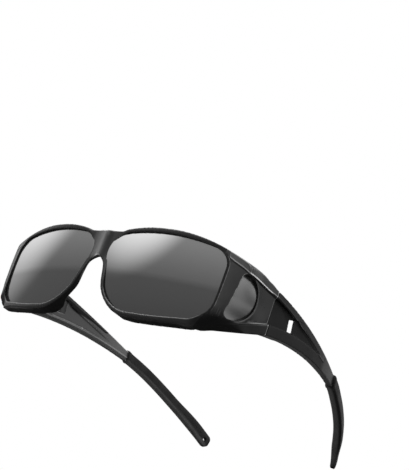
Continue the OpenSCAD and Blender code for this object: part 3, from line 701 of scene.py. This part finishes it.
def shape_temple(mesh):
    """Slants the see-through slot, and writes down every point's painted light and shade and its distances to
    the painted lines.
    """
    shades, tops, lows, bands = [], [], [], []
    normals = [v.normal.copy() for v in mesh.vertices]
    for v, normal in zip(mesh.vertices, normals):
        x, y, z = on_plan(v.co)
        depth = TEMPLE_R - math.hypot(x - TEMPLE_CENTRE_X, y - SEAM_Y)
        shade, top, low, band = 1.0, WELL_AWAY, WELL_AWAY, FAR
        if normal.x > 0.3 and depth < 2.5:
            shade, band = temple_outside(y, z, depth)
        elif normal.x < -0.3:
            shade, top, low = temple_inside(y, z)
        moved = slanted_slot(y, z, depth)
        if moved != (y, z):
            v.co = at(x, *moved)
        shades.append(shade)
        tops.append(top)
        lows.append(low)
        bands.append(band)
    # Layers of painted light and shade, and distances that the painted shadow and highlight lines follow
    float_layer(mesh, "shade", shades)
    float_layer(mesh, "band_gap", bands)
    float_layer(mesh, "top_gap", tops)
    float_layer(mesh, "low_gap", lows)


def shade_tip(mesh):
    """Painted light on the underside and the upper outer edge, painted shade on the inner face, painted
    shadow in the crease along the lower outer edge.
    """
    shades = []
    for v in mesh.vertices:
        x, y, z = on_plan(v.co)
        p, out = tip_path(y)
        off = Vector((x, y, z)) - p - out * tip_lean(y)
        u, w = off.dot(out), -off.z
        under = ease_step(w, 1.2, 1.8) * ease_step(1.5 - u, 0, 0.5) * (1 - 0.7 * ease_step(u, -0.2, 1.5))
        edge = ease_step(u, 0.8, 1.3) * ease_step(-w, 1.7, 2.4) * ease_step(y, 128, 142)
        inner = ease_step(-u, 0.6, 1.4) * ease_off(abs(w), 1.2, 2.4)
        crease = ease_off(math.hypot(u - 1.7, w - 2.3), 0.65, 1.1) * ease_off(y, 155, 160)
        # Painted light underneath and on the upper outer edge, painted shade on the inner face, painted
        # shadow in the crease
        shade = (1 + TIP_UNDER_PAINTED_LIGHT * under + TIP_EDGE_PAINTED_HIGHLIGHT * edge) * (1 - 0.6 * inner)
        shades.append(lerp(shade, CREASE_PAINTED_SHADOW, crease))
    float_layer(mesh, "shade", shades)


def shaped_pane(node):
    """The side pane, bent outwards with the wing that it sits in."""
    mesh = worn_round(node, PANE_CELL, PANE_PASSES, PANE_FACES)
    for v in mesh.vertices:
        x, y, z = on_plan(v.co)
        splay = PANE_SPLAY * max(y - PANE_SPLAY_FROM_Y, 0)
        splay += PANE_TOP_OUT * ease_step(z, -6, 4) * ease_step(y, 18, 26)
        v.co = at(math.copysign(outer_corner(abs(x) + splay, y, z), x), y, z)
    return mesh


# Finishes: sockets of the mixing node are numbered, because its names repeat

MIX_A, MIX_B, MIX_RESULT = 6, 7, 2


def add(tree, kind, **values):
    node = tree.nodes.new(kind)
    for key, value in values.items():
        setattr(node, key, value)
    return node


def reckon(tree, operation, *terms):
    """One sum, where every term is another node's outlet or a plain number."""
    node = add(tree, "ShaderNodeMath", operation=operation)
    for socket, term in zip(node.inputs, terms):
        if isinstance(term, float):
            socket.default_value = term
        else:
            tree.links.new(term, socket)
    return node.outputs[0]


def new_finish(name, tone, rough, metallic=0.0):
    mat = bpy.data.materials.new(name)
    mat.use_nodes = True
    tree = mat.node_tree
    shader = tree.nodes["Principled BSDF"]
    shader.inputs["Base Color"].default_value = (tone, tone, tone, 1)
    shader.inputs["Roughness"].default_value = rough
    shader.inputs["Metallic"].default_value = metallic
    return mat, tree, shader


def object_coords(tree):
    return add(tree, "ShaderNodeTexCoord").outputs["Object"]


def along_axis(tree, where, axis):
    parts = add(tree, "ShaderNodeSeparateXYZ")
    tree.links.new(where, parts.inputs[0])
    return parts.outputs[axis]


def skin_layer(tree, name):
    return add(tree, "ShaderNodeAttribute", attribute_name=name).outputs["Fac"]


def grain(tree, where, scale, detail=3.0):
    node = add(tree, "ShaderNodeTexNoise")
    tree.links.new(where, node.inputs["Vector"])
    node.inputs["Scale"].default_value = scale
    node.inputs["Detail"].default_value = detail
    return node.outputs["Fac"]


def spread(tree, source, low, high, from_low=0.3, from_high=0.7):
    node = add(tree, "ShaderNodeMapRange")
    node.inputs["From Min"].default_value = from_low
    node.inputs["From Max"].default_value = from_high
    node.inputs["To Min"].default_value = low
    node.inputs["To Max"].default_value = high
    tree.links.new(source, node.inputs["Value"])
    return node.outputs["Result"]


def grey_ramp(tree, source, stops):
    node = add(tree, "ShaderNodeValToRGB")
    ramp = node.color_ramp
    while len(ramp.elements) < len(stops):
        ramp.elements.new(0.5)
    for element, (place, tone) in zip(ramp.elements, stops):
        element.position = place
        element.color = (tone, tone, tone, 1)
    tree.links.new(source, node.inputs["Fac"])
    return node.outputs["Color"]


def height_ramp(tree, where, low, high, stops):
    """Greys that follow the height, from low to high on the plan."""
    height = along_axis(tree, where, "Z")
    share = spread(tree, height, 0.0, 1.0, (PLAN_Z + low) * MM, (PLAN_Z + high) * MM)
    return grey_ramp(tree, share, stops)


def by_layer(tree, name, stops):
    """A factor that follows a layer of the mesh, in millimetres: stops are (place, factor)."""
    low, high, most = stops[0][0], stops[-1][0], max(factor for _, factor in stops)
    place = spread(tree, skin_layer(tree, name), 0.0, 1.0, low, high)
    ramp = grey_ramp(tree, place, [((p - low) / (high - low), factor / most) for p, factor in stops])
    return reckon(tree, "MULTIPLY", ramp, most)


def scaled(tree, shader, colour, factor):
    """Links a colour, taken so many times, to the finish's own colour."""
    node = add(tree, "ShaderNodeVectorMath", operation="SCALE")
    tree.links.new(colour, node.inputs[0])
    tree.links.new(factor, node.inputs["Scale"])
    tree.links.new(node.outputs[0], shader.inputs["Base Color"])


def bumped(tree, shader, source, distance, strength):
    node = add(tree, "ShaderNodeBump")
    node.inputs["Strength"].default_value = strength
    node.inputs["Distance"].default_value = distance
    tree.links.new(source, node.inputs["Height"])
    tree.links.new(node.outputs["Normal"], shader.inputs["Normal"])


# Stops of the painted lines that follow the layers, as distance and factor: under the top bands a paler band,
# a painted highlight line and a painted shadow line; by the lens rim a painted highlight line; on the
# temple's inner face painted shadow under the top rib and a painted highlight line over the bottom rib
BAND_PAINTED_LINES = [(-1.2, 2.0), (-0.55, 2.0), (-0.4, 15.0), (-0.1, 15.0), (0.0, 0.02), (0.6, 0.02), (0.85, 1.0)]
RIM_PAINTED_GLINT = [(0.2, 1.0), (0.3, 7.0), (0.5, 7.0), (0.65, 1.0)]
TOP_RIB_PAINTED_SHADOW = [(1.2, 0.2), (1.5, 0.005), (3.6, 0.01), (4.3, 1.0)]
LOW_RIB_PAINTED_GLINT = [(1.3, 0.2), (1.55, 3.0), (1.95, 3.0), (2.15, 1.0)]
MOST_FACTOR = 60.0
DULL_BELOW = 0.45

# Pits of the rubber: where they set in, in metres back in the row frame, and their spacing and depth
PITS_START = (0.060, 0.064)
PIT_SCALE, PIT_RANDOMNESS = 620.0, 0.15
PIT_DEPTH = 5.0


def satin_plastic(name, tone, rough, *lines):
    """Moulded nylon: fine spark texture, paler on its edges as rubbed wear and painted highlight and darker
    in its hollows as painted shade, with painted light, shade and lines by the layers.
    """
    mat, tree, shader = new_finish(name, tone, rough)
    where = object_coords(tree)
    cloud = grain(tree, where, scale=90.0, detail=2.0)
    edge = add(tree, "ShaderNodeNewGeometry").outputs["Pointiness"]
    # Convex edges paler, partly rubbed wear and partly a painted highlight; hollows darker as painted shade
    rub_and_edge_light = grey_ramp(tree, edge, [(0.45, tone * 0.4), (0.49, tone), (0.51, tone), (0.56, tone * 9)])
    mix = add(tree, "ShaderNodeMix", data_type="RGBA", blend_type="MULTIPLY")
    mix.inputs["Factor"].default_value = 1.0
    tree.links.new(rub_and_edge_light, mix.inputs[MIX_A])
    tree.links.new(grey_ramp(tree, cloud, [(0.3, 0.86), (0.7, 1.0)]), mix.inputs[MIX_B])
    # The shade layer and the painted lines scale the grey: painted light and shade
    factor = reckon(tree, "MULTIPLY", skin_layer(tree, "shade"), by_layer(tree, "band_gap", BAND_PAINTED_LINES))
    for layer, stops in lines:
        factor = reckon(tree, "MULTIPLY", factor, by_layer(tree, layer, stops))
    scaled(tree, shader, mix.outputs[MIX_RESULT], reckon(tree, "MINIMUM", factor, MOST_FACTOR))
    gloss = spread(tree, cloud, rough - 0.04, rough + 0.05)
    dull = spread(tree, factor, DULL_BELOW, 0.0, 0.0, 1.0)
    tree.links.new(reckon(tree, "ADD", gloss, dull), shader.inputs["Roughness"])
    spark = grain(tree, where, scale=5200.0, detail=2.0)
    bumped(tree, shader, spark, distance=0.00002, strength=0.35)
    return mat


def tip_rubber():
    """Matt rubber with a fine grain, its grey scaled by the tip's painted light and shade, and small pits
    near the end of the tip.
    """
    mat, tree, shader = new_finish("matte_rubber", tone=0.011, rough=0.62)
    where = object_coords(tree)
    cloud = grain(tree, where, scale=140.0, detail=2.0)
    # Painted light and shade of the tip scale its grey
    scaled(tree, shader, grey_ramp(tree, cloud, [(0.3, 0.008), (0.7, 0.014)]), skin_layer(tree, "shade"))
    tree.links.new(spread(tree, cloud, 0.5, 0.66), shader.inputs["Roughness"])
    near_end = spread(tree, along_axis(tree, where, "Y"), 0.0, 1.0, *PITS_START)
    dots = add(tree, "ShaderNodeTexVoronoi")
    dots.inputs["Scale"].default_value = PIT_SCALE
    dots.inputs["Randomness"].default_value = PIT_RANDOMNESS
    tree.links.new(where, dots.inputs["Vector"])
    pits = reckon(tree, "MULTIPLY", spread(tree, dots.outputs["Distance"], 1.0, 0.0, 0.12, 0.3), near_end)
    height = reckon(tree, "MULTIPLY_ADD", pits, PIT_DEPTH, grain(tree, where, scale=3800.0))
    bumped(tree, shader, height, distance=0.00004, strength=0.6)
    return mat


def mirror_smoke():
    """Smoke lens whose mirror coating is painted paler above and darker below, with a dip and a step at mid
    height: partly a gradient coating, partly a painted reflection of a bright sky over a horizon.
    """
    mat, tree, shader = new_finish("mirror_smoke_lens", tone=0.3, rough=0.04, metallic=0.9)
    where = object_coords(tree)
    # Painted reflection of a sky over a horizon, on a coating that is paler at the top
    coat_and_sky_reflection = height_ramp(tree, where, -19, 19, [(0.0, 0.36), (0.42, 0.29), (0.50, 0.42), (1.0, 0.58)])
    tree.links.new(coat_and_sky_reflection, shader.inputs["Base Color"])
    cloud = grain(tree, where, scale=60.0, detail=1.0)
    tree.links.new(spread(tree, cloud, 0.03, 0.06), shader.inputs["Roughness"])
    return mat


def smoke_pane():
    """Smoke side pane, duller than the lens, its grey darker at mid height and paler at the top as a painted
    reflection.
    """
    mat, tree, shader = new_finish("smoke_side_pane", tone=0.2, rough=0.22, metallic=0.7)
    # Painted reflection: darker at mid height, paler at the top
    pane_painted_reflection = height_ramp(tree, object_coords(tree), -12, 9, [(0.0, 0.17), (0.5, 0.125), (1.0, 0.22)])
    tree.links.new(pane_painted_reflection, shader.inputs["Base Color"])
    return mat


def plain_metal(name, tone, rough):
    mat, tree, shader = new_finish(name, tone, rough, metallic=1.0)
    brushed = grain(tree, object_coords(tree), scale=900.0)
    tree.links.new(grey_ramp(tree, brushed, [(0.3, tone * 0.85), (0.7, tone)]), shader.inputs["Base Color"])
    tree.links.new(spread(tree, brushed, rough - 0.05, rough + 0.08), shader.inputs["Roughness"])
    bumped(tree, shader, brushed, distance=0.00001, strength=0.3)
    return mat


PLASTIC = satin_plastic("satin_moulding", 0.009, 0.30, ("rim_glint_distance", RIM_PAINTED_GLINT))
TEMPLE_PLASTIC = satin_plastic("satin_temple_moulding", 0.008, 0.32,
                               ("top_gap", TOP_RIB_PAINTED_SHADOW), ("low_gap", LOW_RIB_PAINTED_GLINT))
RUBBER = tip_rubber()
LENS = mirror_smoke()
PANE = smoke_pane()
HINGE = plain_metal("hinge_alloy", 0.5, 0.35)
SCREW = plain_metal("screw_steel", 0.6, 0.28)
CORE = plain_metal("core_strip_alloy", 0.45, 0.4)

# Pieces
front = worn_round("front_frame", FRONT_CELL, FRONT_PASSES, FRONT_FACES)
shape_front(front)
piece_of(front, PLASTIC, "front_moulding", "front", "frame_plastic", "front_frame")

arm = worn_round("temple_left", TEMPLE_CELL, TEMPLE_PASSES, TEMPLE_FACES)
shape_temple(arm)
for mesh, side in ((arm, "left"), (mirrored(arm), "right")):
    piece_of(mesh, TEMPLE_PLASTIC, "temple_moulding_" + side,
             side + "_temple", "frame_plastic", "temple_" + side)

lens = lens_mesh()
for mesh, side in ((lens, "left"), (mirrored(lens), "right")):
    piece_of(mesh, LENS, "mirror_lens_" + side, "front", "lens_tint", "front_lens_" + side)
    mesh.set_sharp_from_angle(angle=math.radians(LENS_SHARP_DEGREES))

tip = tip_mesh()
cut_cord_hole(tip)
shade_tip(tip)
for mesh, side in ((tip, "left"), (mirrored(tip), "right")):
    piece_of(mesh, RUBBER, "ear_tip_" + side, side + "_temple", "tip_rubber", "temple_tip_" + side)

for side in ("left", "right"):
    node = "side_lens_" + side
    piece_of(shaped_pane(node), PANE, "side_pane_" + side, "front", "side_tint", node)
    give_finish(nodes["hinge_front_leaf_" + side].data, HINGE)
    give_finish(nodes["hinge_temple_leaf_" + side].data, HINGE)
    give_finish(nodes["hinge_screw_" + side].data, SCREW)
    give_finish(nodes["front_leaf_screws_" + side].data, SCREW)
    give_finish(nodes["temple_leaf_screws_" + side].data, SCREW)
    give_finish(nodes["tip_core_" + side].data, CORE)


# Floor: pale, and clear from below, because the camera of the main view looks up past it

FLOOR_HALF = 3.0
FLOOR_SEEN = (0.85, 0.85, 0.85, 1)
FLOOR_BOUNCE = (0.25, 0.25, 0.25, 1)


def build_floor():
    bm = bmesh.new()
    bmesh.ops.create_grid(bm, x_segments=1, y_segments=1, size=FLOOR_HALF)
    floor = in_scene("floor", mesh_from(bm, "floor"))
    mat = bpy.data.materials.new("pale_floor")
    mat.use_nodes = True
    tree = mat.node_tree
    tree.nodes.clear()
    out = add(tree, "ShaderNodeOutputMaterial")
    pale = add(tree, "ShaderNodeBsdfDiffuse")
    shade = add(tree, "ShaderNodeMix", data_type="RGBA")
    shade.inputs[MIX_A].default_value = FLOOR_BOUNCE
    shade.inputs[MIX_B].default_value = FLOOR_SEEN
    tree.links.new(add(tree, "ShaderNodeLightPath").outputs["Is Camera Ray"], shade.inputs["Factor"])
    tree.links.new(shade.outputs[MIX_RESULT], pale.inputs["Color"])
    clear = add(tree, "ShaderNodeBsdfTransparent")
    mix = add(tree, "ShaderNodeMixShader")
    tree.links.new(add(tree, "ShaderNodeNewGeometry").outputs["Backfacing"], mix.inputs[0])
    tree.links.new(pale.outputs[0], mix.inputs[1])
    tree.links.new(clear.outputs[0], mix.inputs[2])
    tree.links.new(mix.outputs[0], out.inputs["Surface"])
    floor.data.materials.append(mat)


build_floor()


# World: white behind the object, and a soft gradient of studio light that the lenses mirror

# Soft lights of the studio: direction, degrees to where each starts to fade and to its end, strength
STUDIO_LOBES = (
    ((0, 0, 1), 30, 100, 0.45),
    ((-0.92, -0.03, 0.56), 0, 25, 1.05),
    ((-0.50, -0.72, 0.54), 0, 19, 1.1),
    ((0.90, 0.30, 0.30), 5, 30, 1.1),
    ((0.0, 0.93, 0.35), 3, 24, 0.5),
)
STUDIO_DIM = 0.06


def studio_lobe(tree, direction, aim, inner, outer, strength):
    dot = add(tree, "ShaderNodeVectorMath", operation="DOT_PRODUCT")
    tree.links.new(direction, dot.inputs[0])
    dot.inputs[1].default_value = Vector(aim).normalized()
    node = add(tree, "ShaderNodeMapRange", interpolation_type="SMOOTHSTEP")
    node.inputs["From Min"].default_value = math.cos(math.radians(outer))
    node.inputs["From Max"].default_value = math.cos(math.radians(inner))
    node.inputs["To Min"].default_value = 0.0
    node.inputs["To Max"].default_value = strength
    tree.links.new(dot.outputs["Value"], node.inputs["Value"])
    return node.outputs["Result"]


def build_world():
    world = bpy.data.worlds.new("studio")
    bpy.context.scene.world = world
    world.use_nodes = True
    tree = world.node_tree
    tree.nodes.clear()
    direction = add(tree, "ShaderNodeTexCoord").outputs["Generated"]
    lobes = [studio_lobe(tree, direction, *lobe) for lobe in STUDIO_LOBES]
    light = lobes[0]
    for lobe in lobes[1:]:
        light = reckon(tree, "ADD", light, lobe)
    studio = add(tree, "ShaderNodeBackground")
    tree.links.new(reckon(tree, "ADD", light, STUDIO_DIM), studio.inputs["Color"])
    backdrop = add(tree, "ShaderNodeBackground")
    backdrop.inputs["Color"].default_value = (1, 1, 1, 1)
    path = add(tree, "ShaderNodeLightPath")
    seen = reckon(tree, "ADD", path.outputs["Is Camera Ray"], path.outputs["Is Transmission Ray"])
    mix = add(tree, "ShaderNodeMixShader")
    tree.links.new(seen, mix.inputs[0])
    tree.links.new(studio.outputs[0], mix.inputs[1])
    tree.links.new(backdrop.outputs[0], mix.inputs[2])
    tree.links.new(mix.outputs[0], add(tree, "ShaderNodeOutputWorld").inputs["Surface"])


build_world()


# Lamp, in metres and watts

def softbox(name, place, target, size, power):
    lamp = bpy.data.lights.new(name, "AREA")
    lamp.shape = "DISK"
    lamp.size = size
    lamp.energy = power
    stand = in_scene(name, lamp)
    stand.location = place
    stand.rotation_euler = (Vector(target) - Vector(place)).to_track_quat("-Z", "Y").to_euler()


softbox("key_softbox", place=(-0.35, -0.75, 0.85), target=(0, 0, 0.02), size=0.5, power=4.0)


# Camera: low at the front, on the wearer's left, rolled as in the picture

# Place in millimetres of the row frame, turns in degrees, focal length in pixels of the picture
CAMERA_PLACE = (402.807, -481.823, -153.846)
CAMERA_AROUND, CAMERA_UP, CAMERA_ROLL = 41.2111, -20.5630, 19.6661
FOCAL_PIXELS, PICTURE_PIXELS = 1345.12, 470
SENSOR = 36.0


def build_camera():
    around, rise, roll = (math.radians(turn) for turn in (CAMERA_AROUND, CAMERA_UP, CAMERA_ROLL))
    back = Vector((math.sin(around) * math.cos(rise), -math.cos(around) * math.cos(rise), math.sin(rise)))
    right = Vector((math.cos(around), math.sin(around), 0))
    up = back.cross(right)
    right_rolled = math.cos(roll) * right + math.sin(roll) * up
    up_rolled = back.cross(right_rolled)
    turned = Matrix((right_rolled, up_rolled, back)).transposed().to_4x4()
    optics = bpy.data.cameras.new("camera")
    optics.sensor_width = SENSOR
    optics.sensor_fit = "AUTO"
    optics.lens = SENSOR * FOCAL_PIXELS / PICTURE_PIXELS
    optics.clip_start = 0.01
    camera = in_scene("camera", optics)
    camera.matrix_world = Matrix.Translation(Vector(CAMERA_PLACE) * MM) @ turned
    bpy.context.scene.camera = camera


build_camera()
bpy.context.scene.view_settings.view_transform = "Standard"
